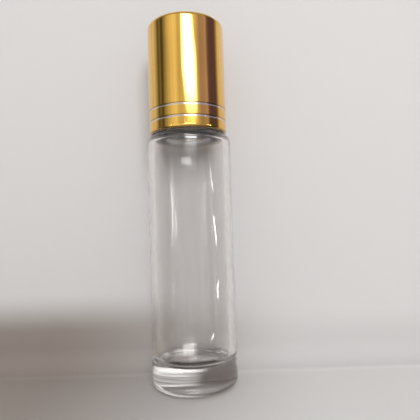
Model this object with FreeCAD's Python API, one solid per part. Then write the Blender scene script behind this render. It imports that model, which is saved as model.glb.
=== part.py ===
# Roll-on bottle: a clear glass bottle, a roller housing pressed into its neck, a steel ball,
# a sealing pad, and a screw cap made of a plastic liner in a thin metal shell.
# Millimetres, +Z up, origin at the centre of the foot. The cap is fully screwed down.

import FreeCAD, Part
import math
import os

# Glass bottle: body
body_radius = 10.0
body_wall = 1.6
base_thickness = 6.0
straight_height = 57.0
heel_radius = 2.0
foot_ring_width = 0.9
push_up_height = 0.8
inner_heel_radius = 2.0
inner_bottom_dome = 0.4
shoulder_radius = 2.0
shoulder_wall = 1.2
inner_shoulder_radius = 1.0

# Glass bottle: neck
neck_height = 15.0
neck_radius = 6.9
neck_wall = 1.6
neck_root_share = 0.6
neck_rim_radius = 0.4
throat_radius = 0.5
bead_rise = 2.5
bead_radius = 0.6

# Thread, the same helix on the neck and in the cap
thread_pitch = 3.0
thread_turns = 1.5
thread_rise = 6.2
thread_depth = 0.8
thread_root_width = 1.8
thread_crest_width = 0.9
cap_thread_root_width = 1.4
cap_thread_crest_width = 0.7
thread_clearance = 0.2
thread_buried = 0.3
thread_crown = 0.12
thread_fade_turns = 0.12
thread_start_angle = 20.0
sections_per_turn = 24

# Roller housing
plug_length = 9.0
plug_clearance = 0.05
plug_wall = 1.35
bead_interference = 0.05
plug_bead_count = 3
plug_bead_start = 1.3
plug_bead_height = 0.7
plug_bead_pitch = 2.2
plug_tip_chamfer = 0.4
flange_thickness = 1.2
flange_setback = 0.1
flange_edge_radius = 0.25
cup_wall = 1.0
cup_lip_wall = 0.45
cup_root_radius = 0.4
seat_ledge = 0.8
seat_ledge_thickness = 1.2

# Ball
ball_setback = 0.55
ball_clearance = 0.1
ball_rise = 3.4
lip_rise = 1.6

# Sealing pad
pad_gap = 0.3
pad_thickness = 1.4
pad_side_clearance = 0.1
pad_top_clearance = 0.05
pad_edge_radius = 0.2

# Cap liner
liner_wall = 0.9
liner_ceiling = 1.3
liner_mouth_chamfer = 0.3

# Cap shell
shell_wall = 0.4
shell_edge_radius = 1.0
shell_gap = 0.25
curl_radius = 0.6
groove_width = 0.45
groove_depth = 0.1
groove_rise = 2.65
groove_pitch = 2.7
groove_count = 2

# Radii that the pieces share
inner_radius = body_radius - body_wall
neck_bore = neck_radius - neck_wall
thread_crest = neck_radius + thread_depth
liner_bore = thread_crest + thread_clearance
liner_radius = liner_bore + liner_wall
shell_radius = liner_radius + shell_wall
plug_radius = neck_bore - plug_clearance
plug_bore = plug_radius - plug_wall
ball_radius = neck_bore - ball_setback
seat_radius = ball_radius + ball_clearance

# Heights that the pieces share
shoulder_top = straight_height + shoulder_radius
neck_top = shoulder_top + neck_height
flange_top = neck_top + flange_thickness
ball_centre = neck_top + ball_rise
cup_top = ball_centre + lip_rise
pad_bottom = ball_centre + ball_radius + pad_gap
pad_top = pad_bottom + pad_thickness
ceiling_bottom = pad_top + pad_top_clearance
liner_top = ceiling_bottom + liner_ceiling
shell_bottom = shoulder_top + shell_gap
liner_bottom = shell_bottom + shell_wall
shell_top = liner_top + shell_wall

thread_start = shoulder_top + thread_rise
cap_thread_start = thread_start - thread_pitch / 2

axis_point = FreeCAD.Vector(0, 0, 0)
axis_up = FreeCAD.Vector(0, 0, 1)


class Outline:
    """A closed outline of radius and height, joined up from points and arcs and turned about Z."""

    def __init__(self):
        self.edges = []
        self.first = None
        self.last = None

    def point(self, radius, height):
        """A corner, reached by a straight line."""
        target = FreeCAD.Vector(radius, 0, height)
        if self.first is None:
            self.first = target
        elif not target.isEqual(self.last, Part.Precision.confusion()):
            self.edges.append(Part.LineSegment(self.last, target).toShape())
        self.last = target

    def bend(self, middle, end):
        """An arc from the last point through middle to end, each a radius and a height."""
        middle = FreeCAD.Vector(middle[0], 0, middle[1])
        end = FreeCAD.Vector(end[0], 0, end[1])
        self.edges.append(Part.Arc(self.last, middle, end).toShape())
        self.last = end

    def arc(self, radius, height, size, start, stop):
        """An arc of that size about a centre, from one angle to the other, reached by a line."""
        places = []
        for angle in (start, (start + stop) / 2, stop):
            turn = math.radians(angle)
            places.append((radius + size * math.cos(turn), height + size * math.sin(turn)))
        self.point(*places[0])
        self.bend(places[1], places[2])

    def dome(self, rim, height, rise, start_share, stop_share):
        """A shallow dome over a rim of that radius and height, from one share of its tilt to the other."""
        size = (rim ** 2 + rise ** 2) / (2 * rise)
        tilt = math.degrees(math.asin(rim / size))
        self.arc(0, height + rise - size, size, 90 - tilt * start_share, 90 - tilt * stop_share)

    def turned(self):
        """The solid that the outline sweeps in one full turn."""
        self.point(self.first.x, self.first.z)
        face = Part.Face(Part.Wire(self.edges))
        return face.revolve(axis_point, axis_up, 360)


def thread_ridge(root, crest, root_width, crest_width, start):
    """A right-hand helical ridge from a wall of radius root to radius crest.

    It starts at height start, and both ends sink smoothly into the wall."""
    outward = 1 if crest > root else -1
    depth = abs(crest - root)
    flank = (root_width - crest_width) / 2
    buried = root - outward * thread_buried
    buried_half = root_width / 2 + flank * thread_buried / depth
    sunk = root - outward * thread_buried / 2
    steps = round(thread_turns * sections_per_turn)
    sections = []
    for step in range(steps + 1):
        turns = thread_turns * step / steps
        fade = min(1, turns / thread_fade_turns, (thread_turns - turns) / thread_fade_turns)
        rise = fade * fade * (3 - 2 * fade)
        tip = sunk + (crest - sunk) * rise
        crown = tip - outward * thread_crown
        turn = math.radians(thread_start_angle) + 2 * math.pi * turns
        height = start + thread_pitch * turns

        def place(radius, above):
            return FreeCAD.Vector(radius * math.cos(turn), radius * math.sin(turn), height + above)

        low_root, high_root = place(buried, -buried_half), place(buried, buried_half)
        low_crest, high_crest = place(crown, -crest_width / 2), place(crown, crest_width / 2)
        sections.append(Part.Wire([
            Part.LineSegment(low_root, low_crest).toShape(),
            Part.Arc(low_crest, place(tip, 0), high_crest).toShape(),
            Part.LineSegment(high_crest, high_root).toShape(),
            Part.LineSegment(high_root, low_root).toShape(),
        ]))
    return Part.makeLoft(sections, True, False)


def glass_bottle():
    """Thick-based body, rounded shoulder, and a neck with a bead and a thread."""
    foot_outer = body_radius - heel_radius
    foot_inner = foot_outer - foot_ring_width
    neck_root_radius = (foot_outer - neck_radius) * neck_root_share
    bead_height = shoulder_top + bead_rise
    throat_centre = neck_bore + throat_radius
    inner_shoulder_top = shoulder_top - shoulder_wall
    inner_flat = inner_radius - inner_heel_radius

    glass = Outline()
    glass.dome(foot_inner, 0, push_up_height, 0, 1)
    glass.arc(foot_outer, heel_radius, heel_radius, -90, 0)
    glass.arc(foot_outer, straight_height, shoulder_radius, 0, 90)
    glass.arc(neck_radius + neck_root_radius, shoulder_top + neck_root_radius, neck_root_radius, 270, 180)
    glass.arc(neck_radius, bead_height, bead_radius, -90, 90)
    glass.arc(neck_radius - neck_rim_radius, neck_top - neck_rim_radius, neck_rim_radius, 0, 90)
    glass.arc(neck_bore + neck_rim_radius, neck_top - neck_rim_radius, neck_rim_radius, 90, 180)
    glass.arc(throat_centre, inner_shoulder_top + throat_radius, throat_radius, 180, 270)
    glass.arc(inner_radius - inner_shoulder_radius, inner_shoulder_top - inner_shoulder_radius,
              inner_shoulder_radius, 90, 0)
    glass.arc(inner_flat, base_thickness + inner_heel_radius, inner_heel_radius, 0, -90)
    glass.dome(inner_flat, base_thickness, inner_bottom_dome, 1, 0)
    ridge = thread_ridge(neck_radius, thread_crest, thread_root_width, thread_crest_width, thread_start)
    return glass.turned().fuse(ridge)


def roller_housing():
    """Plug with sealing beads in the neck, a flange on the rim, and a cup that holds the ball.

    A ledge in the plug carries the ball, and the liquid reaches it through the hole in the ledge."""
    flange_radius = neck_radius - flange_setback
    plug_bottom = neck_top - plug_length
    bead_reach = neck_bore + bead_interference
    seat_hole = plug_bore - seat_ledge
    seat_edge = ball_centre - math.sqrt(seat_radius ** 2 - seat_hole ** 2)
    ledge_bottom = seat_edge - seat_ledge_thickness
    lip_bore = math.sqrt(seat_radius ** 2 - lip_rise ** 2)
    cup_radius = seat_radius + cup_wall
    taper = cup_radius - lip_bore - cup_lip_wall
    cup_curve = (taper ** 2 + lip_rise ** 2) / (2 * taper)
    cup_curve_end = math.degrees(math.asin(lip_rise / cup_curve))
    cup_root = cup_radius + cup_root_radius

    housing = Outline()
    housing.point(plug_bore, plug_bottom)
    housing.point(plug_radius - plug_tip_chamfer, plug_bottom)
    housing.point(plug_radius, plug_bottom + plug_tip_chamfer)
    for bead in range(plug_bead_count):
        low = plug_bottom + plug_bead_start + plug_bead_pitch * bead
        housing.point(plug_radius, low)
        housing.bend((bead_reach, low + plug_bead_height / 2), (plug_radius, low + plug_bead_height))
    housing.point(plug_radius, neck_top)
    housing.arc(flange_radius - flange_edge_radius, neck_top + flange_edge_radius, flange_edge_radius, -90, 0)
    housing.arc(flange_radius - flange_edge_radius, flange_top - flange_edge_radius, flange_edge_radius, 0, 90)
    housing.arc(cup_root, flange_top + cup_root_radius, cup_root_radius, 270, 180)
    housing.arc(cup_radius - cup_curve, ball_centre, cup_curve, 0, cup_curve_end)
    housing.point(lip_bore, cup_top)
    housing.bend((seat_radius, ball_centre), (seat_hole, seat_edge))
    housing.point(seat_hole, ledge_bottom)
    housing.point(plug_bore, ledge_bottom)
    return housing.turned()


def roller_ball():
    """The steel ball, held past its middle by the housing's lip."""
    return Part.makeSphere(ball_radius, FreeCAD.Vector(0, 0, ball_centre))


def seal_pad():
    """A soft disc under the cap's ceiling."""
    radius = liner_bore - pad_side_clearance
    pad = Outline()
    pad.point(0, pad_bottom)
    pad.arc(radius - pad_edge_radius, pad_bottom + pad_edge_radius, pad_edge_radius, -90, 0)
    pad.arc(radius - pad_edge_radius, pad_top - pad_edge_radius, pad_edge_radius, 0, 90)
    pad.point(0, pad_top)
    return pad.turned()


def cap_liner():
    """Plastic inner cap with the female thread."""
    corner = shell_edge_radius - shell_wall
    foot = curl_radius - shell_wall
    liner = Outline()
    liner.point(liner_bore + liner_mouth_chamfer, liner_bottom)
    liner.arc(liner_radius - foot, liner_bottom + foot, foot, -90, 0)
    liner.arc(liner_radius - corner, liner_top - corner, corner, 0, 90)
    liner.point(0, liner_top)
    liner.point(0, ceiling_bottom)
    liner.point(liner_bore, ceiling_bottom)
    liner.point(liner_bore, liner_bottom + liner_mouth_chamfer)
    ridge = thread_ridge(liner_bore, neck_radius + thread_clearance,
                         cap_thread_root_width, cap_thread_crest_width, cap_thread_start)
    return liner.turned().fuse(ridge)


def cap_shell():
    """Drawn metal shell with a rounded top edge, two cut rings and a curled lower edge."""
    corner = shell_edge_radius - shell_wall
    curl_centre = shell_bottom + curl_radius
    shell = Outline()
    shell.arc(shell_radius - curl_radius, curl_centre, curl_radius, -90, 0)
    for groove in range(groove_count):
        middle = shell_bottom + groove_rise + groove * groove_pitch
        shell.point(shell_radius, middle - groove_width / 2)
        shell.bend((shell_radius - groove_depth, middle), (shell_radius, middle + groove_width / 2))
    shell.arc(shell_radius - shell_edge_radius, shell_top - shell_edge_radius, shell_edge_radius, 0, 90)
    shell.point(0, shell_top)
    shell.point(0, liner_top)
    shell.arc(liner_radius - corner, liner_top - corner, corner, 90, 0)
    shell.arc(shell_radius - curl_radius, curl_centre, curl_radius - shell_wall, 0, -90)
    return shell.turned()


def main():
    os.makedirs("parts", exist_ok=True)
    for piece in (glass_bottle, roller_housing, roller_ball, seal_pad, cap_liner, cap_shell):
        shape = piece()
        shape.exportStep("parts/" + piece.__name__ + ".step")
        print(piece.__name__, len(shape.Solids), "solid, valid:", shape.isValid(), round(shape.Volume, 2), "mm3")


main()
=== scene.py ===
"""Looks of a clear glass roll-on bottle with a gold screw cap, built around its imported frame."""

import math

import bpy
from bpy.props import FloatProperty, FloatVectorProperty, IntProperty, PointerProperty
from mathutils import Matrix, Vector


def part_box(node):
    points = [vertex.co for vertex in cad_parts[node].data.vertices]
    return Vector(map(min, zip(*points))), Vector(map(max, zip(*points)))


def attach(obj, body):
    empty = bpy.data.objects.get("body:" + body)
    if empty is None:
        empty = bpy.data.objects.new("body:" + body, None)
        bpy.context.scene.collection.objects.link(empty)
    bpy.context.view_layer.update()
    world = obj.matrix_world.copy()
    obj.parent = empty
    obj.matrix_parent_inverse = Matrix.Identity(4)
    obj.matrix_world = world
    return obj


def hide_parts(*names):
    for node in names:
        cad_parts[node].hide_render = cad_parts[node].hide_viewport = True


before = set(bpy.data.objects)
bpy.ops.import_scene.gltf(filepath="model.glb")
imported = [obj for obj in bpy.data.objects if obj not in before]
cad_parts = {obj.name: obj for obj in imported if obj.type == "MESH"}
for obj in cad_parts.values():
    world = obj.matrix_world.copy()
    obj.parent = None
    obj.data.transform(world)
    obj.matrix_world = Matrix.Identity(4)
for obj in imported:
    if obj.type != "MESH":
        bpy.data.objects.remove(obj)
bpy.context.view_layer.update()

bl_info = {
    "name": "Roll-on bottle",
    "version": (1, 0, 0),
    "blender": (4, 5, 0),
    "location": "3D View > Sidebar > Roll-on Bottle",
    "description": "Builds the glass, the roller, the cap and the studio of a roll-on bottle",
    "category": "Add Mesh",
}

THREAD_TREE = "Moulded thread"

# Faces round the pieces that have no setting for it
BALL_FACES, PAD_FACES, LINER_FACES, SHELL_FACES = 160, 128, 192, 256

# Points closer than this are one, in metres
NOTHING = 1e-9

# Edges of turned pieces that bend by more than this stay crisp
CRISP_ANGLE = math.radians(24)

# Height of the fine relief in the finishes, in metres
GLASS_PEEL, GOLD_POLISH, STEEL_MARKS = 0.000004, 0.0000012, 0.000001
PLASTIC_GRAIN, FOAM_CELLS = 0.000006, 0.00003

BLACK, WHITE = (0.0, 0.0, 0.0), (1.0, 1.0, 1.0)

# The Mix node's sockets for colours
MIX_SHARE, MIX_ONE, MIX_OTHER, MIX_RESULT = 0, 6, 7, 2

# Where the frame says that the pieces are, in metres
glass_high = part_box("glass_bottle")[1]
housing_low, housing_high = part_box("roller_housing")
ball_low, ball_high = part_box("roller_ball")
pad_low, pad_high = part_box("seal_pad")
liner_low, liner_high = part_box("cap_liner")
shell_low, shell_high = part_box("cap_shell")
ball_middle = (ball_low.z + ball_high.z) / 2


def length(name, description, default):
    """A size in metres that a user may change."""
    return FloatProperty(name=name, description=description, default=default, min=0.0,
                         subtype="DISTANCE", unit="LENGTH", precision=5)


def colour(name, description, default):
    """A colour that a user may change."""
    return FloatVectorProperty(name=name, description=description, default=default, min=0.0, max=1.0,
                               size=3, subtype="COLOR")


def angle(name, description, degrees):
    """An angle that a user may change."""
    return FloatProperty(name=name, description=description, default=math.radians(degrees),
                         subtype="ANGLE", unit="ROTATION")


def number(name, description, default, low=0.0, high=1.0, unit="NONE"):
    """A number that a user may change; a share unless it is given a range."""
    return FloatProperty(name=name, description=description, default=default, min=low, max=high, unit=unit)


def count(name, description, default, low, high):
    """A whole number that a user may change."""
    return IntProperty(name=name, description=description, default=default, min=low, max=high)


class GlassSizes(bpy.types.PropertyGroup):
    """Sizes and tint of the glass bottle."""

    wall: length("Wall", "Thickness of the body's wall", 0.0016)
    base: length("Base", "Thickness of the base at its rim", 0.0060)
    base_dome: length("Base dome", "Rise of the inner bottom towards its middle", 0.0004)
    push_up: length("Push-up", "Rise of the hollow under the base", 0.0008)
    foot_ring: length("Foot ring", "Width of the flat ring that the bottle stands on", 0.0009)
    heel: length("Heel radius", "Rounding of the outer heel", 0.0020)
    inner_heel: length("Inner heel radius", "Rounding of the inner bottom's rim", 0.0020)
    shoulder: length("Shoulder radius", "Rounding of the shoulder", 0.0020)
    shoulder_wall: length("Shoulder wall", "Thickness of the glass over the shoulder", 0.0012)
    inner_shoulder: length("Inner shoulder radius", "Rounding of the shoulder on its inside", 0.0010)
    straight: length("Straight height", "Height at which the shoulder starts", 0.0570)
    neck: length("Neck radius", "Outer radius of the neck", 0.0069)
    neck_wall: length("Neck wall", "Thickness of the neck's wall", 0.0016)
    root: length("Neck root radius", "Hollow rounding where the neck leaves the shoulder", 0.00066)
    rim: length("Rim radius", "Rounding of the neck's rim", 0.0004)
    throat: length("Throat radius", "Rounding where the bore opens into the body", 0.0005)
    bead_rise: length("Bead rise", "Height of the neck's bead above the shoulder", 0.0025)
    bead: length("Bead radius", "Half the bead's height, and how far it stands out", 0.0006)
    outer_wave: length("Outer waviness", "How far the moulded outside strays from true", 0.000012)
    inner_wave: length("Inner waviness", "How far the blown inside strays from true", 0.00007)
    segments: count("Segments", "Faces round the bottle", 224, 48, 256)
    tint: colour("Tint", "Colour of the glass", (0.990, 0.972, 0.959))


class ThreadSizes(bpy.types.PropertyGroup):
    """Sizes of the thread that the neck and the cap share."""

    pitch: length("Pitch", "Rise of the thread in one turn", 0.0030)
    depth: length("Depth", "How far the neck's thread stands out", 0.0008)
    rise: length("Rise", "Height of the thread's start above the shoulder", 0.0062)
    root_width: length("Root width", "Width of the neck's thread at its root", 0.0018)
    crest_width: length("Crest width", "Width of the neck's thread at its crest", 0.0009)
    cap_root_width: length("Cap root width", "Width of the cap's thread at its root", 0.0014)
    cap_crest_width: length("Cap crest width", "Width of the cap's thread at its crest", 0.0007)
    clearance: length("Clearance", "Gap between a thread's crest and the other wall", 0.0002)
    turns: number("Turns", "How far the thread winds", 1.5, 0.5, 4.0)
    fade: number("Fade", "Turns over which each end runs out", 0.12, 0.01, 0.5)
    start: angle("Start angle", "Where the thread starts", 20)


class RollerSizes(bpy.types.PropertyGroup):
    """Sizes and colours of the housing and its ball."""

    plug_clearance: length("Plug clearance", "Gap between the plug and the neck's bore", 0.00005)
    plug_wall: length("Plug wall", "Thickness of the plug's wall", 0.00135)
    plug_chamfer: length("Plug chamfer", "Lead-in at the plug's tip", 0.0004)
    bead_start: length("First sealing bead", "Height of the first bead above the plug's tip", 0.0013)
    bead_height: length("Sealing bead height", "Height of one bead", 0.0007)
    bead_pitch: length("Sealing bead spacing", "From one bead to the next", 0.0022)
    bead_reach: length("Sealing bead reach", "How far a bead stands out of the plug", 0.0001)
    bead_count: count("Sealing beads", "Beads on the plug", 3, 1, 5)
    flange: length("Flange", "Thickness of the flange on the neck's rim", 0.0012)
    flange_edge: length("Flange edge", "Rounding of the flange", 0.00025)
    ball_clearance: length("Ball clearance", "Gap between the ball and its seat", 0.0001)
    cup_wall: length("Cup wall", "Wall beside the ball's middle", 0.0010)
    cup_lip: length("Cup lip", "Width of the lip that holds the ball", 0.00045)
    cup_root: length("Cup root", "Hollow rounding where the cup leaves the flange", 0.0004)
    ledge: length("Seat ledge", "How far the ledge under the ball reaches in", 0.0008)
    ledge_wall: length("Ledge thickness", "Thickness of the ledge at its hole", 0.0012)
    housing_colour: colour("Housing", "Colour of the natural polyethylene", (0.80, 0.81, 0.80))
    steel_colour: colour("Steel", "Colour of the polished ball", (0.72, 0.73, 0.74))


class CapSizes(bpy.types.PropertyGroup):
    """Sizes and colours of the cap."""

    shell_wall: length("Shell wall", "Thickness of the metal shell", 0.0004)
    shell_edge: length("Top edge", "Rounding of the shell's top edge", 0.0010)
    curl: length("Curl", "Rounding of the shell's lower edge", 0.0006)
    ring_width: length("Ring width", "Width of a cut ring", 0.00045)
    ring_depth: length("Ring depth", "Depth of a cut ring", 0.0001)
    ring_rise: length("First ring", "Height of the lower ring above the shell's edge", 0.00265)
    ring_pitch: length("Ring spacing", "From one ring to the next", 0.0027)
    ring_count: count("Rings", "Cut rings on the shell", 2, 0, 5)
    top_dish: length("Top dish", "How far the top sinks towards its middle", 0.00006)
    ceiling: length("Ceiling", "Thickness of the liner's ceiling", 0.0013)
    mouth: length("Mouth chamfer", "Lead-in at the liner's mouth", 0.0003)
    pad_edge: length("Pad edge", "Rounding of the sealing pad", 0.0002)
    pad_dent: length("Pad dent", "Depth of the mark that the ball leaves in the pad", 0.00012)
    gold: colour("Gold", "Colour of the anodised shell", (0.95, 0.55, 0.100))
    silver: colour("Silver", "Colour of the bare metal in the rings", (0.90, 0.79, 0.64))
    # Painted shade, darkening the gold above the cut rings and on the lip
    painted_shade_bronze: colour("Bronze", "Colour of the shaded gold above the rings and on the lip", (0.20, 0.12, 0.05))
    liner_colour: colour("Liner", "Colour of the inner cap", (0.80, 0.80, 0.78))
    pad_colour: colour("Pad", "Colour of the sealing pad", (0.82, 0.81, 0.78))


class StudioSizes(bpy.types.PropertyGroup):
    """The stage and its light."""

    backdrop_gap: length("Backdrop gap", "From the bottle's axis to the backdrop", 0.0118)
    stage_width: length("Stage width", "Width of the floor and the backdrop", 1.2)
    sweep: length("Sweep", "Radius of the bend between floor and backdrop", 0.006)
    key_distance: length("Key distance", "From the bottle to the key lamp", 0.50)
    key_size: length("Key size", "Side of the square key lamp", 0.20)
    key_power: number("Key power", "Power of the key lamp", 1.55, high=100.0, unit="POWER")
    key_side: angle("Key side", "How far right of the front the key lamp stands", 8)
    key_rise: angle("Key rise", "How high the key lamp stands", 22)
    sheet_reach: length("Sheet reach", "How far out what shines sees the stage", 0.040)
    fill: number("Fill", "Strength of the even light", 0.50, high=10.0)
    fill_through: number("Fill through glass", "Share of the even light that passes the glass", 0.85)
    # Painted shade and painted light on the stage
    shade: number("Shade", "How dark the soft shade is at the left of the foot", 0.62)
    gleam: number("Gleam", "Strength of the light that the base gathers", 0.74, high=4.0)
    foot_shadow: number("Foot shadow", "How dark the base's shadow is beside that light", 0.56)
    backdrop: colour("Backdrop", "Colour of the floor and the backdrop", (0.635, 0.620, 0.613))


SETTINGS = {
    "roll_on_glass": GlassSizes,
    "roll_on_thread": ThreadSizes,
    "roll_on_roller": RollerSizes,
    "roll_on_cap": CapSizes,
    "roll_on_studio": StudioSizes,
}


class Wire:
    """An output socket that adds Math nodes where it is used in a sum."""

    def __init__(self, tree, socket):
        self.tree = tree
        self.socket = socket

    def maths(self, operation, *others):
        return self.tree.add("ShaderNodeMath", {"operation": operation}, (self, *others))

    def __add__(self, other):
        return self.maths("ADD", other)

    def __sub__(self, other):
        return self.maths("SUBTRACT", other)

    def __rsub__(self, other):
        return self.tree.add("ShaderNodeMath", {"operation": "SUBTRACT"}, (other, self))

    def __mul__(self, other):
        return self.maths("MULTIPLY", other)

    def __truediv__(self, other):
        return self.maths("DIVIDE", other)

    def __gt__(self, other):
        return self.maths("GREATER_THAN", other)

    __radd__ = __add__
    __rmul__ = __mul__

    def steps(self, low, high):
        """0 up to low and 1 from high, smooth between; it falls where high is the lower."""
        return self.tree.add("ShaderNodeMapRange", {"interpolation_type": "SMOOTHSTEP"},
                             {"Value": self, "From Min": low, "From Max": high}, "Result")


class Tree:
    """A node tree, with one method that adds any node."""

    def __init__(self, tree, coordinates=None):
        self.tree = tree
        tree.nodes.clear()
        if coordinates:
            self.place = self.add("ShaderNodeTexCoord", output=coordinates)

    def add(self, kind, settings=None, inputs=(), output=0):
        """Adds a node, sets it, feeds its sockets, and returns one of its outputs."""
        node = self.tree.nodes.new(kind)
        for name, value in (settings or {}).items():
            setattr(node, name, value)
        fed = inputs.items() if isinstance(inputs, dict) else enumerate(inputs)
        for key, value in fed:
            socket = node.inputs[key]
            if isinstance(value, Wire):
                self.tree.links.new(value.socket, socket)
            else:
                socket.default_value = (*value, 1.0) if socket.type == "RGBA" else value
        return Wire(self, node.outputs[output]) if len(node.outputs) else node

    def ramp(self, share, stops):
        """A ramp over a share, from pairs of place and grey."""
        ramp = self.add("ShaderNodeValToRGB", inputs=(share,))
        elements = ramp.socket.node.color_ramp.elements
        elements.remove(elements[-1])
        for index, (place, grey) in enumerate(stops):
            stop = elements[0] if index == 0 else elements.new(place)
            stop.position = place
            stop.color = (grey, grey, grey, 1.0)
        return ramp

    def split(self, vector):
        """The X, Y and Z of a vector."""
        first = self.add("ShaderNodeSeparateXYZ", inputs=(vector,))
        return [Wire(self, socket) for socket in first.socket.node.outputs]

    def noise(self, scale, detail=3.0, stretch=None):
        """Smooth noise over the tree's coordinates, with so many features per unit."""
        place = self.place
        if stretch:
            place = self.add("ShaderNodeMapping", inputs={"Vector": place, "Scale": stretch})
        return self.add("ShaderNodeTexNoise", inputs={"Vector": place, "Scale": scale, "Detail": detail})

    def mixed(self, share, one, other):
        """One colour turning into another."""
        return self.add("ShaderNodeMix", {"data_type": "RGBA"},
                        {MIX_SHARE: share, MIX_ONE: one, MIX_OTHER: other}, MIX_RESULT)


def from_axis(x, y):
    """Distance from the bottle's axis."""
    return (x * x + y * y).maths("SQRT")


def band(value, low, high, soft):
    """1 between two values and 0 beyond, with soft edges."""
    return value.steps(low - soft, low + soft) * value.steps(high + soft, high - soft)


def toned(tone, share):
    """A share of a colour, darker or lighter."""
    return tuple(channel * share for channel in tone)


class Finish(Tree):
    """A material made of nodes."""

    def __init__(self, name):
        self.material = bpy.data.materials.new(name)
        self.material.use_nodes = True
        super().__init__(self.material.node_tree, "Object")

    def bump(self, height, distance):
        """A Bump node's normal; distance is the height in metres."""
        return self.add("ShaderNodeBump", inputs={"Height": height, "Distance": distance})

    def surface(self, **sockets):
        """A Principled shader with those sockets, named as in Blender with _ for a space."""
        inputs = {name.replace("_", " "): value for name, value in sockets.items()}
        return self.add("ShaderNodeBsdfPrincipled", inputs=inputs)

    def done(self, shader):
        """Shows the shader and returns the material."""
        self.add("ShaderNodeOutputMaterial", inputs={"Surface": shader})
        return self.material


def smooth_mesh(name, verts, faces):
    """A mesh with smooth faces."""
    mesh = bpy.data.meshes.new(name)
    mesh.from_pydata(verts, [], faces)
    mesh.polygons.foreach_set("use_smooth", [True] * len(mesh.polygons))
    return mesh


def new_object(name, data):
    """A new object in the scene."""
    made = bpy.data.objects.new(name, data)
    bpy.context.scene.collection.objects.link(made)
    return made


def shallow(half, rise):
    """Radius of an arc that rises so far over half its width."""
    return (half ** 2 + rise ** 2) / (2 * rise)


class Profile:
    """An outline of radius and height, as points close enough to look smooth once it is turned about Z."""

    LEAST_ROWS, DOME_ROWS = 3, 14

    def __init__(self, arc_step=6.0):
        self.points = []
        self.arc_step = arc_step

    def point(self, radius, height):
        """A point, reached by one straight row of faces."""
        here = (max(radius, 0.0), height)
        if not self.points or math.dist(self.points[-1], here) > NOTHING:
            self.points.append(here)

    def rows(self, radius, height, step):
        """A straight run to a point, in even rows about one step high."""
        start = self.points[-1]
        rows = max(1, round(math.dist(start, (radius, height)) / step))
        for row in range(1, rows + 1):
            share = row / rows
            self.point(start[0] + (radius - start[0]) * share, start[1] + (height - start[1]) * share)

    def arc(self, radius, height, size, start, stop, step=None):
        """An arc about a centre from one angle in degrees to another, reached by even rows if step is set."""
        rows = max(self.LEAST_ROWS, round(abs(stop - start) / self.arc_step))
        for index in range(rows + 1):
            turn = math.radians(start + (stop - start) * index / rows)
            place = (radius + size * math.cos(turn), height + size * math.sin(turn))
            if index == 0 and step and self.points:
                self.rows(*place, step)
            else:
                self.point(*place)

    def dome(self, rim, height, rise, start_share, stop_share):
        """A shallow dome over a rim, from one share of its tilt to the other."""
        size = shallow(rim, rise)
        tilt = math.asin(rim / size)
        for index in range(self.DOME_ROWS + 1):
            turn = tilt * (start_share + (stop_share - start_share) * index / self.DOME_ROWS)
            self.point(size * math.sin(turn), height + rise - size * (1 - math.cos(turn)))

    def turned(self, name, segments):
        """The mesh of the outline turned about Z. Points on the axis become poles; other ends are joined."""
        verts, rings = [], []
        for radius, height in self.points:
            if radius < NOTHING:
                rings.append([len(verts)] * segments)
                verts.append((0.0, 0.0, height))
                continue
            rings.append(list(range(len(verts), len(verts) + segments)))
            for index in range(segments):
                turn = math.tau * index / segments
                verts.append((radius * math.cos(turn), radius * math.sin(turn), height))
        pairs = list(zip(rings, rings[1:]))
        if self.points[0][0] > NOTHING:
            pairs.append((rings[-1], rings[0]))
        faces = []
        for low, high in pairs:
            for index in range(segments):
                following = (index + 1) % segments
                corners = (low[index], low[following], high[following], high[index])
                corners = tuple(dict.fromkeys(corners))
                if len(corners) > 2:
                    faces.append(corners)
        return smooth_mesh(name, verts, faces)


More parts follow.
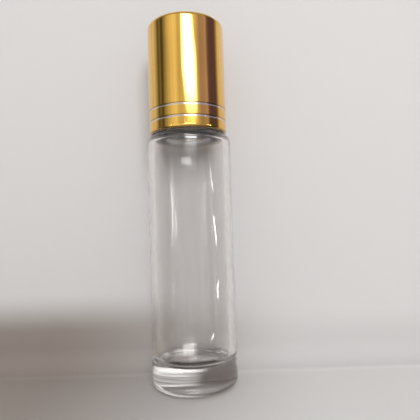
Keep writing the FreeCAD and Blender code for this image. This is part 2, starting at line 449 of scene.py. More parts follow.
def ridge_tree():
    """Geometry nodes that raise a helical thread on a wall and give the walls a slight waviness."""
    wave_detail, wave_ends = 1.5, 0.08
    group = bpy.data.node_groups.new(THREAD_TREE, "GeometryNodeTree")
    sockets = group.interface
    sockets.new_socket("Geometry", in_out="INPUT", socket_type="NodeSocketGeometry")
    for name in ("Wall Radius", "Reach", "Depth", "Pitch", "Turns", "Fade", "Start Angle", "Start Height",
                 "Root Width", "Crest Width", "Outer Radius", "Outer Wave", "Inner Wave", "Wave Low",
                 "Wave High", "Wave Scale", "Seed"):
        sockets.new_socket(name, in_out="INPUT", socket_type="NodeSocketFloat")
    sockets.new_socket("Material", in_out="INPUT", socket_type="NodeSocketMaterial")
    sockets.new_socket("Geometry", in_out="OUTPUT", socket_type="NodeSocketGeometry")
    tree = Tree(group)
    entry = group.nodes.new("NodeGroupInput")
    given = {socket.name: Wire(tree, socket) for socket in entry.outputs if socket.name}

    place = tree.add("GeometryNodeInputPosition")
    x, y, z = tree.split(place)
    radius = from_axis(x, y)
    turned = (y.maths("ARCTAN2", x) - given["Start Angle"]) / math.tau
    turned = turned - turned.maths("FLOOR")
    climbed = (z - given["Start Height"]) / given["Pitch"]
    along = turned + (climbed - turned).maths("ROUND")
    away = ((climbed - along) * given["Pitch"]).maths("ABSOLUTE")
    ridge = away.steps(given["Root Width"] * 0.5, given["Crest Width"] * 0.5)
    ends = (along / given["Fade"]).steps(0.0, 1.0)
    ends = ends * ((given["Turns"] - along) / given["Fade"]).steps(0.0, 1.0)
    on_wall = 1.0 - ((radius - given["Wall Radius"]).maths("ABSOLUTE") > given["Reach"])
    raised = ridge * ends * on_wall * given["Depth"]

    waves = tree.add("ShaderNodeTexNoise", {"noise_dimensions": "4D"},
                     {"Vector": place, "W": given["Seed"], "Scale": given["Wave Scale"],
                      "Detail": wave_detail}) - 0.5
    edge = (given["Wave High"] - given["Wave Low"]) * wave_ends
    between = (z - given["Wave Low"]).steps(0.0, edge) * (given["Wave High"] - z).steps(0.0, edge)
    outside = radius > given["Outer Radius"]
    wave = given["Outer Wave"] * outside + given["Inner Wave"] * (1.0 - outside)
    shift = raised + waves * between * wave * 2.0

    flat = tree.add("ShaderNodeCombineXYZ", inputs=(x, y, 0.0))
    outward = tree.add("ShaderNodeVectorMath", {"operation": "NORMALIZE"}, (flat,))
    offset = tree.add("ShaderNodeVectorMath", {"operation": "SCALE"}, {"Vector": outward, "Scale": shift})
    moved = tree.add("GeometryNodeSetPosition", inputs={"Geometry": given["Geometry"], "Offset": offset})
    real = tree.add("GeometryNodeRealizeInstances", inputs=(moved,))
    finished = tree.add("GeometryNodeSetMaterial", inputs={"Geometry": real, "Material": given["Material"]})
    tree.add("NodeGroupOutput", inputs=(finished,))
    return group


def piece_of(name, outline, segments, body, finish, thread=None, crisp=False):
    """Adds a turned piece to the scene, with its thread if it has one, and hangs it under its body's empty.
    """
    mesh = outline.turned(name, segments)
    mesh.materials.append(finish)
    piece = new_object(name, mesh)
    if thread:
        shaped_by(piece, {**thread, "Material": finish})
    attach(piece, body)
    if crisp:
        piece.data.set_sharp_from_angle(angle=CRISP_ANGLE)
    return piece


def thread_rules(thread, wall, depth, start, root_width, crest_width):
    """What the thread's tree is told of a thread on a wall that starts at a height."""
    return {"Wall Radius": wall, "Reach": thread.depth * 0.1, "Depth": depth, "Pitch": thread.pitch,
            "Turns": thread.turns, "Fade": thread.fade, "Start Angle": thread.start, "Start Height": start,
            "Root Width": root_width, "Crest Width": crest_width}


def shaped_by(piece, inputs):
    """Runs the thread's tree on a piece and keeps the result as its plain mesh."""
    group = bpy.data.node_groups.get(THREAD_TREE) or ridge_tree()
    modifier = piece.modifiers.new("Thread", "NODES")
    modifier.node_group = group
    for item in group.interface.items_tree:
        if item.in_out == "INPUT" and item.name in inputs:
            modifier[item.identifier] = inputs[item.name]
    bpy.context.view_layer.update()
    evaluated = piece.evaluated_get(bpy.context.evaluated_depsgraph_get())
    shaped = bpy.data.meshes.new_from_object(evaluated)
    piece.modifiers.remove(modifier)
    shaped.name = piece.name
    piece.data = shaped


def clear_glass(sizes):
    """Clear moulded glass with faint smears and a painted dark line at the front of its inner bottom. The
    lamp shines through it, so its shadow stays light.
    """
    soft, wall_soft, wall_middle = 0.0003, 0.0002, glass_high.x - sizes.wall * 0.5
    throat_low, throat_high = sizes.straight + 0.0004, sizes.straight + 0.0016
    foot_low, foot_high = 0.0006, 0.0012
    sunken_low, sunken_high = sizes.base + 0.0004, sizes.base + 0.0010
    # Where the painted shade at the front of the inner bottom lies, and its colour
    painted_dark_line_low, painted_dark_line_high = sizes.base + 0.0013, sizes.base + 0.0020
    painted_dark_line_back, painted_dark_line_front, painted_dark_line_colour = -0.0056, -0.0072, (0.02, 0.012, 0.01)
    blown_rough, bottom_shine, throat_rough, stipple_rough, sunken_rough = 0.14, 0.05, 0.25, 0.12, 0.12

    finish = Finish("clear glass")
    x, y, z = finish.split(finish.place)
    smears = finish.noise(260.0, 4.0, (1.0, 1.0, 0.35)).steps(0.52, 0.78)
    specks = finish.noise(2600.0, 2.0).steps(0.66, 0.74)
    peel = finish.noise(420.0, 2.0)
    blown = from_axis(x, y).steps(wall_middle + wall_soft, wall_middle - wall_soft)
    blown = blown * z.steps(sizes.base * 0.7, sizes.base * 0.8)
    bottom = z.steps(sizes.base * 2.4, sizes.base * 1.6)
    throat = blown * band(z, throat_low, throat_high, soft)
    stipple = z.steps(foot_high, foot_low)
    sunken = blown * z.steps(sunken_high, sunken_low)
    roughness = smears * 0.018 + specks * 0.03 + blown * (blown_rough - bottom * bottom_shine)
    roughness = roughness + throat * throat_rough + stipple * stipple_rough + sunken * sunken_rough
    film = blown * finish.noise(1100.0, 3.0, (1.0, 1.0, 0.03)).steps(0.45, 0.68)
    tint = finish.mixed(film, sizes.tint, toned(sizes.tint, 0.955))
    # Painted shade: a dark line in the tint at the front of the inner bottom, where the glass looks dark
    painted_dark_line = blown * band(z, painted_dark_line_low, painted_dark_line_high, soft) * y.steps(painted_dark_line_back, painted_dark_line_front)
    tint = finish.mixed(painted_dark_line, tint, painted_dark_line_colour)
    glass = finish.surface(Base_Color=tint, Roughness=roughness, IOR=1.52, Transmission_Weight=1.0,
                           Normal=finish.bump(peel, GLASS_PEEL))
    through = finish.add("ShaderNodeBsdfTransparent", inputs={"Color": (0.95, 0.95, 0.95)})
    thick = z.steps(sizes.base * 1.5, sizes.base * 0.9)
    shadow = finish.add("ShaderNodeLightPath", output="Is Shadow Ray") * (1.0 - thick * 0.5)
    return finish.done(finish.add("ShaderNodeMixShader", inputs=(shadow, glass, through)))


def gold_metal(sizes):
    """Bright gold anodised aluminium, with bare silver metal in the cut rings, and painted shade just above
    the rings and on the lip.
    """
    finish = Finish("gold anodised aluminium")
    height = finish.split(finish.place)[2]
    soft = sizes.ring_width * 0.1
    half = sizes.ring_width * 0.5
    reach, bare = half * 1.5, half * 0.35
    middles = [shell_low.z + sizes.ring_rise + ring * sizes.ring_pitch for ring in range(sizes.ring_count)]
    rings = sum(band(height, middle - reach, middle + bare, soft) for middle in middles)
    # Painted shade: a bronze band just above each ring's bare metal
    edges = sum(band(height, middle + bare, middle + reach, soft) for middle in middles)
    # Painted shade: bronze on the curled lip
    lip = height.steps(shell_low.z + sizes.curl * 0.8, shell_low.z + sizes.curl * 0.3)
    dye = finish.noise(90.0).steps(0.35, 0.65)
    polish = finish.noise(900.0, 3.0, (0.25, 0.25, 6.0))
    handled = finish.noise(150.0, 4.0).steps(0.55, 0.8)
    tone = finish.mixed(dye, sizes.gold, toned(sizes.gold, 0.93))
    tone = finish.mixed(lip * 0.7, tone, sizes.painted_shade_bronze)
    tone = finish.mixed(edges * 0.65, tone, sizes.painted_shade_bronze)
    tone = finish.mixed(rings, tone, sizes.silver)
    return finish.done(finish.surface(
        Base_Color=tone, Metallic=1.0, Roughness=0.05 + polish * 0.04 + handled * 0.05 + rings * 0.08,
        Coat_Weight=0.5, Coat_Roughness=0.03, Normal=finish.bump(polish, GOLD_POLISH)))


def polished_steel(sizes):
    """Polished steel with faint rolling marks."""
    finish = Finish("polished steel")
    marks = finish.noise(1400.0, 4.0, (1.0, 0.15, 1.0))
    film = finish.noise(300.0).steps(0.5, 0.8)
    tone = finish.mixed(film, sizes.steel_colour, toned(sizes.steel_colour, 0.92))
    return finish.done(finish.surface(
        Base_Color=tone, Metallic=1.0, Roughness=0.06 + marks * 0.05 + film * 0.05,
        Normal=finish.bump(marks, STEEL_MARKS)))


def natural_plastic(name, tone, subsurface, roughness):
    """Milky moulded plastic with a fine satin grain."""
    finish = Finish(name)
    grain = finish.noise(5200.0)
    flow = finish.noise(240.0, 3.0, (1.0, 1.0, 0.3)).steps(0.3, 0.7)
    return finish.done(finish.surface(
        Base_Color=finish.mixed(flow, tone, toned(tone, 0.95)), Roughness=roughness + grain * 0.12, IOR=1.51,
        Subsurface_Weight=subsurface, Subsurface_Radius=(1.0, 0.95, 0.9), Subsurface_Scale=0.0012,
        Normal=finish.bump(grain, PLASTIC_GRAIN)))


def soft_foam(sizes):
    """Closed-cell foam, finely pitted."""
    finish = Finish("soft foam")
    cells = finish.add("ShaderNodeTexVoronoi", inputs={"Vector": finish.place, "Scale": 5200.0},
                       output="Distance")
    tone = finish.mixed(cells.steps(0.2, 0.6), toned(sizes.pad_colour, 0.9), sizes.pad_colour)
    return finish.done(finish.surface(
        Base_Color=tone, Roughness=0.82 + cells * 0.1, Normal=finish.bump(cells, FOAM_CELLS)))


class RollOnOperator:
    """What the operators share."""

    bl_options = {"REGISTER", "UNDO"}


class ROLLON_OT_glass_bottle(RollOnOperator, bpy.types.Operator):
    """Make the glass bottle with its thick base and threaded neck"""

    bl_idname = "rollon.glass_bottle"
    bl_label = "Glass Bottle"

    def execute(self, context):
        sizes = context.scene.roll_on_glass
        thread = context.scene.roll_on_thread
        body = glass_high.x
        inner = body - sizes.wall
        bore = sizes.neck - sizes.neck_wall
        foot_outer = body - sizes.heel
        shoulder_top = sizes.straight + sizes.shoulder
        neck_top = glass_high.z
        bead = shoulder_top + sizes.bead_rise
        inner_top = shoulder_top - sizes.shoulder_wall
        inner_flat = inner - sizes.inner_heel
        wall_step, neck_step, bore_step, edge = 0.0011, 0.00014, 0.0008, 0.0001
        wave_scale, wave_seed = 85.0, 4.0

        outline = Profile()
        outline.dome(foot_outer - sizes.foot_ring, 0.0, sizes.push_up, 0.0, 1.0)
        outline.arc(foot_outer, sizes.heel, sizes.heel, -90, 0)
        outline.point(body, sizes.heel + edge)
        outline.rows(body, sizes.straight - edge, wall_step)
        outline.arc(body - sizes.shoulder, sizes.straight, sizes.shoulder, 0, 90)
        outline.arc(sizes.neck + sizes.root, shoulder_top + sizes.root, sizes.root, 270, 180)
        outline.arc(sizes.neck, bead, sizes.bead, -90, 90)
        outline.arc(sizes.neck - sizes.rim, neck_top - sizes.rim, sizes.rim, 0, 90, neck_step)
        outline.arc(bore + sizes.rim, neck_top - sizes.rim, sizes.rim, 90, 180)
        outline.arc(bore + sizes.throat, inner_top + sizes.throat, sizes.throat, 180, 270, bore_step)
        outline.arc(inner - sizes.inner_shoulder, inner_top - sizes.inner_shoulder,
                    sizes.inner_shoulder, 90, 0)
        outline.arc(inner_flat, sizes.base + sizes.inner_heel, sizes.inner_heel, 0, -90, wall_step)
        outline.dome(inner_flat, sizes.base, sizes.base_dome, 1.0, 0.0)
        rules = thread_rules(thread, sizes.neck, thread.depth, shoulder_top + thread.rise,
                             thread.root_width, thread.crest_width)
        rules.update({"Outer Radius": inner + sizes.wall * 0.5, "Outer Wave": sizes.outer_wave,
                      "Inner Wave": sizes.inner_wave, "Wave Low": sizes.base, "Wave High": sizes.straight,
                      "Wave Scale": wave_scale, "Seed": wave_seed})
        piece = piece_of("bottle_glass", outline, sizes.segments, "bottle",
                         clear_glass(sizes), rules)
        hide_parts("glass_bottle")
        return {"FINISHED"}


class ROLLON_OT_roller_housing(RollOnOperator, bpy.types.Operator):
    """Make the housing that is pressed into the neck and holds the ball"""

    bl_idname = "rollon.roller_housing"
    bl_label = "Roller Housing"

    def execute(self, context):
        sizes = context.scene.roll_on_roller
        glass = context.scene.roll_on_glass
        plug = glass.neck - glass.neck_wall - sizes.plug_clearance
        plug_bore = plug - sizes.plug_wall
        tip, neck_top = housing_low.z, glass_high.z
        edge = sizes.flange_edge
        flange = housing_high.x - edge
        flange_top = neck_top + sizes.flange
        seat = ball_high.x + sizes.ball_clearance
        lip_rise = housing_high.z - ball_middle
        lip_bore = math.sqrt(seat ** 2 - lip_rise ** 2)
        cup = seat + sizes.cup_wall
        taper = cup - lip_bore - sizes.cup_lip
        curve = shallow(lip_rise, taper)

        outline = Profile()
        outline.point(plug_bore, tip)
        outline.point(plug - sizes.plug_chamfer, tip)
        outline.point(plug, tip + sizes.plug_chamfer)
        half = sizes.bead_height / 2
        swell = shallow(half, sizes.bead_reach)
        spread = math.degrees(math.asin(half / swell))
        for bead in range(sizes.bead_count):
            middle = tip + sizes.bead_start + sizes.bead_pitch * bead + half
            outline.arc(plug + sizes.bead_reach - swell, middle, swell, -spread, spread)
        outline.point(plug, neck_top)
        outline.arc(flange, neck_top + edge, edge, -90, 0)
        outline.arc(flange, flange_top - edge, edge, 0, 90)
        outline.arc(cup + sizes.cup_root, flange_top + sizes.cup_root, sizes.cup_root, 270, 180)
        outline.arc(cup - curve, ball_middle, curve, 0, math.degrees(math.asin(lip_rise / curve)))
        hole = plug_bore - sizes.ledge
        ledge_low = ball_middle - math.sqrt(seat ** 2 - hole ** 2) - sizes.ledge_wall
        outline.arc(0.0, ball_middle, seat, math.degrees(math.asin(lip_rise / seat)),
                    -math.degrees(math.acos(hole / seat)))
        outline.point(hole, ledge_low)
        outline.point(plug_bore, ledge_low)
        finish = natural_plastic("natural polyethylene", sizes.housing_colour, subsurface=0.6, roughness=0.34)
        piece = piece_of("roller_cup", outline, glass.segments, "bottle",
                         finish, crisp=True)
        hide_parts("roller_housing")
        return {"FINISHED"}


class ROLLON_OT_roller_ball(RollOnOperator, bpy.types.Operator):
    """Make the polished steel ball"""

    bl_idname = "rollon.roller_ball"
    bl_label = "Roller Ball"

    def execute(self, context):
        sizes = context.scene.roll_on_roller
        outline = Profile(arc_step=2.0)
        outline.arc(0.0, ball_middle, ball_high.x, -90, 90)
        piece = piece_of("steel_ball", outline, BALL_FACES, "roller",
                         polished_steel(sizes))
        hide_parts("roller_ball")
        return {"FINISHED"}


class ROLLON_OT_seal_pad(RollOnOperator, bpy.types.Operator):
    """Make the soft sealing pad under the cap's ceiling"""

    bl_idname = "rollon.seal_pad"
    bl_label = "Seal Pad"

    def execute(self, context):
        sizes = context.scene.roll_on_cap
        edge = sizes.pad_edge
        rim = pad_high.x - edge
        dent = ball_high.x * 0.5
        outline = Profile()
        outline.dome(dent, pad_low.z, sizes.pad_dent, 0.0, 1.0)
        outline.arc(rim, pad_low.z + edge, edge, -90, 0)
        outline.arc(rim, pad_high.z - edge, edge, 0, 90)
        outline.point(0.0, pad_high.z)
        piece = piece_of("foam_pad", outline, PAD_FACES, "seal", soft_foam(sizes))
        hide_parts("seal_pad")
        return {"FINISHED"}


class ROLLON_OT_cap_liner(RollOnOperator, bpy.types.Operator):
    """Make the inner cap with its thread"""

    bl_idname = "rollon.cap_liner"
    bl_label = "Cap Liner"

    def execute(self, context):
        sizes = context.scene.roll_on_cap
        glass = context.scene.roll_on_glass
        thread = context.scene.roll_on_thread
        outer = liner_high.x
        bore = glass.neck + thread.depth + thread.clearance
        corner = sizes.shell_edge - sizes.shell_wall
        foot = sizes.curl - sizes.shell_wall
        low, high = liner_low.z, liner_high.z
        start = glass.straight + glass.shoulder + thread.rise - thread.pitch / 2
        thread_low = start - thread.pitch / 2
        thread_high = start + thread.pitch * (thread.turns + 0.5)
        fine, coarse = 0.00015, 0.0015

        outline = Profile()
        outline.point(bore + sizes.mouth, low)
        outline.arc(outer - foot, low + foot, foot, -90, 0)
        outline.arc(outer - corner, high - corner, corner, 0, 90, coarse)
        outline.point(0.0, high)
        outline.point(0.0, high - sizes.ceiling)
        outline.rows(bore, high - sizes.ceiling, coarse)
        outline.rows(bore, thread_high, coarse)
        outline.rows(bore, thread_low, fine)
        outline.rows(bore, low + sizes.mouth, coarse)
        rules = thread_rules(thread, bore, glass.neck + thread.clearance - bore, start,
                             thread.cap_root_width, thread.cap_crest_width)
        finish = natural_plastic("white polypropylene", sizes.liner_colour, subsurface=0.25, roughness=0.3)
        piece = piece_of("inner_cap", outline, LINER_FACES, "cap",
                         finish, rules, crisp=True)
        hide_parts("cap_liner")
        return {"FINISHED"}


class ROLLON_OT_cap_shell(RollOnOperator, bpy.types.Operator):
    """Make the gold shell with its cut rings"""

    bl_idname = "rollon.cap_shell"
    bl_label = "Cap Shell"

    def execute(self, context):
        sizes = context.scene.roll_on_cap
        outer, low, high = shell_high.x, shell_low.z, shell_high.z
        inner = outer - sizes.shell_wall
        corner = sizes.shell_edge - sizes.shell_wall
        curl, wall_step, edge = sizes.curl, 0.002, 0.0001

        outline = Profile()
        outline.arc(outer - curl, low + curl, curl, -90, 0)
        outline.point(outer, low + curl + edge)
        for ring in range(sizes.ring_count):
            middle = low + sizes.ring_rise + ring * sizes.ring_pitch
            half = sizes.ring_width / 2
            flat = half * 0.25
            outline.rows(outer, middle - half, wall_step)
            outline.point(outer - sizes.ring_depth, middle - flat)
            outline.point(outer - sizes.ring_depth, middle + flat)
            outline.point(outer, middle + half)
        outline.rows(outer, high - sizes.shell_edge - edge, wall_step)
        outline.arc(outer - sizes.shell_edge, high - sizes.shell_edge, sizes.shell_edge, 0, 90)
        outline.rows(outer * 0.5, high - sizes.top_dish * 0.5, wall_step)
        outline.rows(0.0, high - sizes.top_dish, wall_step)
        outline.point(0.0, high - sizes.shell_wall)
        outline.arc(inner - corner, high - sizes.shell_edge, corner, 90, 0, wall_step)
        outline.arc(outer - curl, low + curl, curl - sizes.shell_wall, 0, -90, wall_step)
        piece = piece_of("gold_shell", outline, SHELL_FACES, "cap",
                         gold_metal(sizes), crisp=True)
        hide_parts("cap_shell")
        return {"FINISHED"}


class ROLLON_OT_studio(RollOnOperator, bpy.types.Operator):
    """Make the floor, the backdrop, the lamp, the world and the camera"""

    bl_idname = "rollon.studio"
    bl_label = "Studio"

    def execute(self, context):
        sizes = context.scene.roll_on_studio
        stage = stage_sheet(sizes)
        key_lamp(sizes)
        studio_world(sizes)
        camera()
        context.scene.view_settings.view_transform = "Standard"
        clear_paths(context.scene.cycles)
        return {"FINISHED"}


def stage_sheet(sizes):
    """The floor, and a backdrop bent up behind the bottle that isn't seen from behind."""
    half, bend_rows = sizes.stage_width / 2, 12
    back, bend = sizes.backdrop_gap, sizes.sweep
    outline = [(-half, 0.0)]
    for index in range(bend_rows + 1):
        turn = math.radians(-90 + 90 * index / bend_rows)
        outline.append((back - bend + bend * math.cos(turn), bend + bend * math.sin(turn)))
    outline.append((back, half))
    backdrop_top = len(outline) - 1
    outline += [(back - bend, 0.0), (half, 0.0)]
    verts = [(side * half, y, z) for y, z in outline for side in (-1, 1)]
    # No face joins the backdrop's top to the floor behind it
    faces = [(2 * row, 2 * row + 1, 2 * row + 3, 2 * row + 2)
             for row in range(len(outline) - 1) if row != backdrop_top]
    mesh = smooth_mesh("stage", verts, faces)
    mesh.materials.append(stage_finish(sizes))
    return new_object("stage", mesh)


def stage_finish(sizes):
    """Pale and matt, with painted shade and painted light beside the bottle, and not seen from its back. What
    shines sees the room in place of its far parts.
    """
    floor_share, dim_share, under_share = 1.175, 0.92, 0.75
    floor_top, dim_low, dim_high = 0.0006, 0.0070, 0.0150
    soft, gap, foot_low, foot_high = 0.0010, sizes.backdrop_gap, 0.0026, 0.0036
    shadow_left, shadow_right, gleam_left, gleam_right, narrowing = -0.0002, 0.0075, -0.0060, -0.0004, 0.0028
    # Where a mark starts and where it is full
    under_rim, foot_front = (0.0080, 0.0070), (0.004, 0.008)
    shade_side, shade_top = (0.030, -0.040), (0.021, 0.010)
    near_left, near_front, near_back = (-0.110, -0.070), (-0.060, -0.030), (0.030, 0.012)
    finish = Finish("pale stage")
    x, y, z = finish.split(finish.place)

    # Painted tone: the floor gets less light than the backdrop's lower part, so it is painted paler, and the
    # backdrop is painted darker near its foot
    low = finish.mixed(z.steps(dim_high, dim_low), sizes.backdrop, toned(sizes.backdrop, dim_share))
    even = finish.mixed(z.steps(floor_top, 0.0), low, toned(sizes.backdrop, floor_share))

    # Painted shade under the bottle, a painted soft shade at its left, and the painted shadow of its base
    under = from_axis(x, y).steps(*under_rim) * z.steps(soft, soft * 0.5) * under_share
    near = x.steps(*near_left) * y.steps(*near_front) * y.steps(*near_back)
    shade = x.steps(*shade_side) * z.steps(*shade_top) * near * sizes.shade
    foot = y.steps(*foot_front) * y.steps(gap + soft, gap + soft * 0.2) * z.steps(foot_high, foot_low)
    shadow = band(x, shadow_left, shadow_right, soft) * foot * sizes.foot_shadow
    dark = tuple(share * channel for share, channel in zip((0.15, 0.06, 0.0), sizes.backdrop))
    tone = finish.mixed(shade.maths("MAXIMUM", shadow).maths("MAXIMUM", under), even, dark)

    # Painted light: a glow that stands in for the light that the base gathers, in streaks that narrow upwards
    streaks = finish.noise(1700.0, 2.0, (0.10, 1.0, 1.0)).steps(0.38, 0.58)
    reach = gleam_right - z.steps(0.0021, 0.0029) * narrowing
    gathered = band(x, gleam_left, reach, soft) * foot * (0.55 + z.steps(0.0, 0.0015) * 0.45)
    gleam = gathered * (0.3 + streaks * 0.7) * sizes.gleam
    matt = finish.surface(Base_Color=tone, Roughness=0.9, Specular_IOR_Level=0.1,
                          Emission_Color=finish.mixed(gleam, BLACK, WHITE), Emission_Strength=1.0)
    nothing = finish.add("ShaderNodeBsdfTransparent")
    shining = finish.add("ShaderNodeLightPath", output="Is Glossy Ray")
    away = from_axis(x, y).steps(sizes.sheet_reach * 0.7, sizes.sheet_reach * 1.3)
    back = finish.add("ShaderNodeNewGeometry", output="Backfacing")
    gone = back.maths("MAXIMUM", away * shining)
    return finish.done(finish.add("ShaderNodeMixShader", inputs=(gone, matt, nothing)))


def key_lamp(sizes):
    """One soft lamp in front, above and to the right, aimed half way up the bottle."""
    aim = Vector((0.0, 0.0, 0.045))
    light = bpy.data.lights.new("key", "AREA")
    light.shape = "SQUARE"
    light.size = sizes.key_size
    light.energy = sizes.key_power
    lamp = new_object("key", light)
    side, rise = sizes.key_side, sizes.key_rise
    towards = Vector((math.sin(side) * math.cos(rise), -math.cos(side) * math.cos(rise), math.sin(rise)))
    lamp.location = aim + towards * sizes.key_distance
    lamp.rotation_mode = "QUATERNION"
    lamp.rotation_quaternion = towards.to_track_quat("Z", "Y")
    lamp.visible_camera = lamp.visible_glossy = lamp.visible_transmission = False


def clear_paths(cycles):
    """Lets light go on through the many surfaces of thick glass, which would look black without it."""
    most, mirrored = 28, 20
    cycles.max_bounces = cycles.transmission_bounces = cycles.transparent_max_bounces = most
    cycles.glossy_bounces = mirrored


def studio_world(sizes):
    """Even light for the matt pieces, and a room with a window for what shines."""
    world = bpy.context.scene.world = bpy.data.worlds.new("studio")
    world.use_nodes = True
    tree = Tree(world.node_tree, "Generated")
    x, y, z = tree.split(tree.place)
    wobble = tree.noise(7.0, 2.0, (1.0, 1.0, 0.3)) - 0.5
    about = x.maths("ARCTAN2", 0.0 - y) * math.degrees(1) + wobble * ROOM_WOBBLE
    rise = z.maths("ARCSINE") * math.degrees(1)

    # Walls, a window with a dim sill, haze below it, gaps low in the room, and the ceiling
    folds = tree.add("ShaderNodeTexNoise", {"noise_dimensions": "1D"},
                     {"W": about, "Scale": 0.22, "Detail": 2.0}) - 0.5
    panels = tree.ramp((about + 180.0) / 360.0, PANELS)
    left, right = (edge - (rise - height) * lean for edge, height, lean in (WINDOW_LEFT, WINDOW_RIGHT))
    left, right = left.maths("MAXIMUM", WINDOW_REACH[0]), right.maths("MINIMUM", WINDOW_REACH[1])
    window = about.steps(left - 4.0, left + 7.0) * about.steps(right + 3.5, right - 6.5)
    panes = rise.steps(*PANES_FOOT) * WINDOW_LIGHT + rise.steps(*SILL_FOOT) * SILL_LIGHT
    lit = window * panes * rise.steps(*WINDOW_TOP)
    haze = band(about, *HAZE_SIDES) * rise.steps(*HAZE_FOOT) * rise.steps(*HAZE_TOP)
    lit = lit + haze * HAZE_LIGHT
    for middle, slant, width, low, high, soft, strength in STRIPS:
        off = (about - middle - (rise - low) * slant).maths("ABSOLUTE")
        across = off.steps(width + STRIP_SOFT, width - STRIP_SOFT)
        lit = lit + across * band(rise, low, high, soft) * strength
    ceiling = rise.steps(*CEILING_EDGE)
    room = panels * (1.0 + folds * 0.5) * (1.0 - ceiling) + ceiling * CEILING

    # What shines sees the room; what is seen directly is pale; the rest gets even light
    shining = tree.add("ShaderNodeLightPath", output="Is Glossy Ray")
    path = shining.socket.node.outputs
    direct = 1.0 - (Wire(tree, path["Diffuse Depth"]) > 0.5)
    through = Wire(tree, path["Is Transmission Ray"])
    seen = Wire(tree, path["Is Camera Ray"]).maths("MAXIMUM", through * direct)
    studio = room + lit * direct
    share = sizes.fill * (1.0 - through * (1.0 - sizes.fill_through))
    warmth = about.steps(*WARM_LEFT) * 0.45 + about.steps(*WARM_MIDDLE) * 0.55
    warmth = warmth * about.steps(*WARM_RIGHT) * band(rise, *WARM_HEIGHTS)
    warm = tree.mixed(warmth, WHITE, WARM_ROOM)
    even, pale, shine = (tree.add("ShaderNodeBackground", inputs=(tone, strength))
                         for tone, strength in ((WHITE, share), (sizes.backdrop, 1.0), (warm, studio)))
    base = tree.add("ShaderNodeMixShader", inputs=(seen, even, pale))
    tree.add("ShaderNodeOutputWorld",
             inputs={"Surface": tree.add("ShaderNodeMixShader", inputs=(shining, base, shine))})


# The room, in degrees to the right of the front and above the level: the wobble of its upright edges, the
# softness of its gaps' sides, and the strength of its lights
ROOM_WOBBLE, STRIP_SOFT = 9.0, 0.4
WINDOW_LIGHT, SILL_LIGHT, HAZE_LIGHT, CEILING = 8.5, 0.35, 3.4, 0.4
# Each side of the window: direction, the height where it has it, lean for each degree up; and the limits
WINDOW_LEFT, WINDOW_RIGHT, WINDOW_REACH = (7.0, 14.0, 2.2), (31.0, 22.0, 1.6), (-8.5, 30.0)
# Where the room's parts start and where they are full; low, high and softness for bands
WINDOW_TOP, PANES_FOOT, SILL_FOOT, CEILING_EDGE = (61.5, 58.5), (14.3, 19.6), (12.8, 13.4), (34.0, 60.0)
HAZE_SIDES, HAZE_FOOT, HAZE_TOP = (-6.0, 25.0, 4.0), (9.6, 12.4), (12.8, 12.2)
WARM_LEFT, WARM_MIDDLE, WARM_RIGHT = (34.0, 42.0), (69.0, 76.0), (104.0, 98.0)
WARM_HEIGHTS = (14.5, 29.5, 1.5)
# The walls all the way round: direction and grey; and the colour of the dark wall at the right
DARK_ROOM, WARM_ROOM = 0.08, (1.3, 0.9, 2.5)
PANELS = tuple(((about + 180.0) / 360.0, grey) for about, grey in (
    (-180, 0.64), (-108, 0.68), (-101, 0.50), (-95, 0.26), (-90, 0.12), (-86, 0.10), (-82, 0.21), (-79, 0.18),
    (-76, DARK_ROOM), (-71, DARK_ROOM), (-69, 0.19), (-65, 0.28), (-59, 0.42), (-54, 0.60), (-40, 0.84),
    (-32, 0.96), (-26, 0.84), (-20, 0.62), (-14, 0.62), (-6, 0.72), (30, 0.66), (38, 0.50), (45, 0.33),
    (66, 0.40), (70, 0.12), (78, DARK_ROOM), (98, DARK_ROOM), (104, 0.25), (110, 0.55), (117, 0.70),
    (180, 0.64),
))
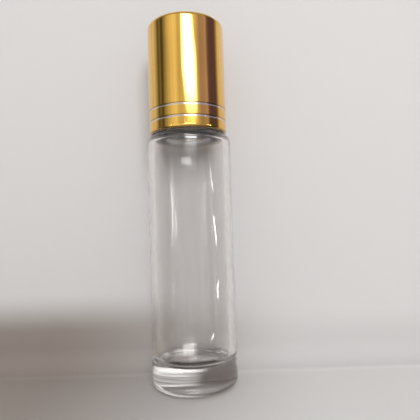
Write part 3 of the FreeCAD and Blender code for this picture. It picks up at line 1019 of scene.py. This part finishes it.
# Bright gaps low in the room: direction, lean, half width, lowest, highest, softness, strength
STRIPS = (
    (10.0, 0.0, 15.5, 12.40, 13.15, 0.08, 17.0),
    (-4.0, 0.0, 13.0, 8.85, 9.70, 0.12, 4.5),
    (66.2, -1.7, 0.85, 5.1, 8.3, 0.5, 22.0),
    (71.5, -1.5, 1.7, -2.05, 1.5, 0.5, 34.0),
    (72.0, -1.7, 2.0, -9.2, -8.05, 0.3, 32.0),
    (69.5, 5.4, 2.0, -8.05, -7.0, 0.3, 32.0),
    (50.0, 9.5, 1.9, -14.5, -13.85, 0.2, 24.0),
    (-13.0, 0.0, 15.0, -16.3, -14.9, 0.3, 6.0),
    (-44.5, -1.4, 0.8, 2.8, 6.9, 0.5, 16.0),
    (-46.0, 0.0, 0.6, -0.6, 2.8, 0.5, 14.0),
    (-38.5, 0.0, 0.6, -1.2, 2.6, 0.5, 16.0),
)


# Lens and sensor in millimetres, place in metres, and turn in degrees
LENS, SENSOR = 36.25, 36.0
CAMERA_PLACE, CAMERA_TURN = (0.00452, -0.10153, 0.03651), (92.548, 1.846, 0.0)


def camera():
    """The photograph's view: close up, a little below the middle, and leaning."""
    lens = bpy.data.cameras.new("camera")
    lens.lens, lens.sensor_width = LENS, SENSOR
    lens.clip_start = 0.001
    view = new_object("camera", lens)
    view.location = CAMERA_PLACE
    view.rotation_euler = [math.radians(turn) for turn in CAMERA_TURN]
    bpy.context.scene.camera = view


OPERATORS = (ROLLON_OT_studio, ROLLON_OT_glass_bottle, ROLLON_OT_roller_housing, ROLLON_OT_roller_ball,
             ROLLON_OT_seal_pad, ROLLON_OT_cap_liner, ROLLON_OT_cap_shell)


class ROLLON_PT_panel(bpy.types.Panel):
    """Buttons that make the bottle's pieces"""

    bl_label = "Roll-on Bottle"
    bl_idname = "ROLLON_PT_panel"
    bl_space_type = "VIEW_3D"
    bl_region_type = "UI"
    bl_category = "Roll-on Bottle"

    def draw(self, context):
        for operator in OPERATORS:
            self.layout.operator(operator.bl_idname)


def register():
    """Registers the settings, the operators and the panel."""
    for name, group in SETTINGS.items():
        bpy.utils.register_class(group)
        setattr(bpy.types.Scene, name, PointerProperty(type=group))
    for operator in OPERATORS:
        bpy.utils.register_class(operator)
    bpy.utils.register_class(ROLLON_PT_panel)


def unregister():
    """Takes them away again."""
    bpy.utils.unregister_class(ROLLON_PT_panel)
    for operator in reversed(OPERATORS):
        bpy.utils.unregister_class(operator)
    for name, group in reversed(list(SETTINGS.items())):
        delattr(bpy.types.Scene, name)
        bpy.utils.unregister_class(group)


def main():
    """Makes the whole scene."""
    register()
    for operator in OPERATORS:
        group, name = operator.bl_idname.split(".")
        getattr(getattr(bpy.ops, group), name)()


if __name__ == "__main__":
    main()
